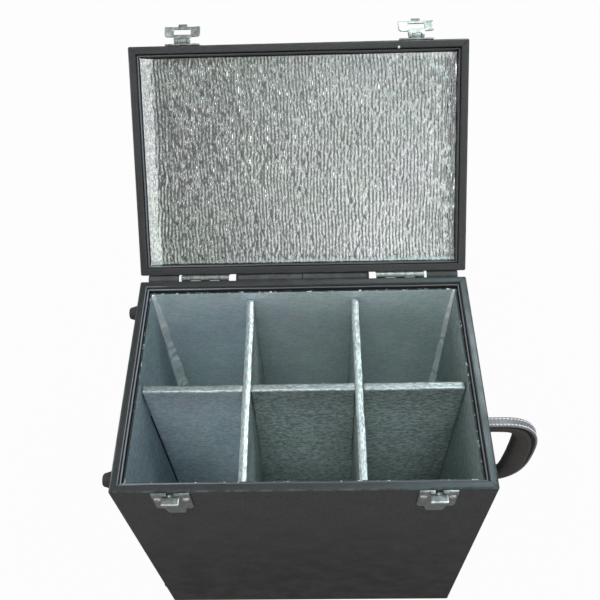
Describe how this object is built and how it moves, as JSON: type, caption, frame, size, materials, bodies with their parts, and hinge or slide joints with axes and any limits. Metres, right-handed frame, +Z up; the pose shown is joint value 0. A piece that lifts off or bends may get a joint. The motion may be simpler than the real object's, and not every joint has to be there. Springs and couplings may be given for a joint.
{
  "type": "wine carrier",
  "caption": "Upright dark leather wine carrier with its padded lid open, foil-lined bottle cells, nickel latches and a stitched side handle",
  "frame": {"origin": "centre of the underside of the base, where the carrier stands on a table", "axes": "+Z is up along the bottles, -Y is the front with the two latches, +X is the side with the handle"},
  "size_m": [0.3851, 0.3872, 0.4703],
  "materials": {
    "leather": "smooth satin",
    "handle_leather": "smooth satin",
    "trim": "matte",
    "foil": "crinkled aluminium foil on thin foam",
    "board": "raw",
    "nickel": "satin nickel plate",
    "rubber": "matte"
  },
  "bodies": {
    "body": {"front_board": "board", "back_board": "board", "left_board": "board", "right_board": "board", "floor_board": "board", "body_leather": "leather", "base_leather": "leather", "body_lip": "trim", "front_lining": "foil", "back_lining": "foil", "left_lining": "foil", "right_lining": "foil", "floor_lining": "foil", "left_divider": "foil", "right_divider": "foil", "cross_divider": "foil", "body_left_hinge_leaf": "nickel", "body_right_hinge_leaf": "nickel", "left_hinge_pin": "nickel", "right_hinge_pin": "nickel", "left_keeper": "nickel", "right_keeper": "nickel", "left_keeper_left_screw": "nickel", "left_keeper_right_screw": "nickel", "right_keeper_left_screw": "nickel", "right_keeper_right_screw": "nickel", "upper_front_foot": "rubber", "upper_back_foot": "rubber", "lower_front_foot": "rubber", "lower_back_foot": "rubber", "upper_handle_bracket": "nickel", "lower_handle_bracket": "nickel", "upper_handle_pin": "nickel", "lower_handle_pin": "nickel"},
    "lid": {"lid_top_board": "board", "lid_front_board": "board", "lid_back_board": "board", "lid_left_board": "board", "lid_right_board": "board", "lid_leather": "leather", "lid_lip": "trim", "lid_pad": "foil", "lid_left_hinge_leaf": "nickel", "lid_right_hinge_leaf": "nickel", "left_lid_plate": "nickel", "right_lid_plate": "nickel", "left_hasp_pin": "nickel", "right_hasp_pin": "nickel"},
    "hasp_left": {"left_hasp": "nickel"},
    "hasp_right": {"right_hasp": "nickel"},
    "handle": {"handle_strap": "handle_leather", "handle_grip": "handle_leather", "handle_core": "nickel"}
  },
  "joints": [
    {"name": "lid_hinge", "type": "hinge", "parent": "body", "child": "lid", "pos_m": [0, 0.1047, 0.3153], "axis": [-1, 0, 0], "range_deg": [-134, 0]},
    {"name": "left_hasp_swing", "type": "hinge", "parent": "lid", "child": "hasp_left", "pos_m": [-0.102, 0.25344, 0.46457], "axis": [-1, 0, 0], "range_deg": [-120, 50]},
    {"name": "right_hasp_swing", "type": "hinge", "parent": "lid", "child": "hasp_right", "pos_m": [0.1041, 0.25344, 0.46457], "axis": [-1, 0, 0], "range_deg": [-120, 50]},
    {"name": "handle_swing", "type": "hinge", "parent": "body", "child": "handle", "pos_m": [0.159, 0, 0.15907], "axis": [0, 0, 1], "range_deg": [-80, 80]}
  ]
}
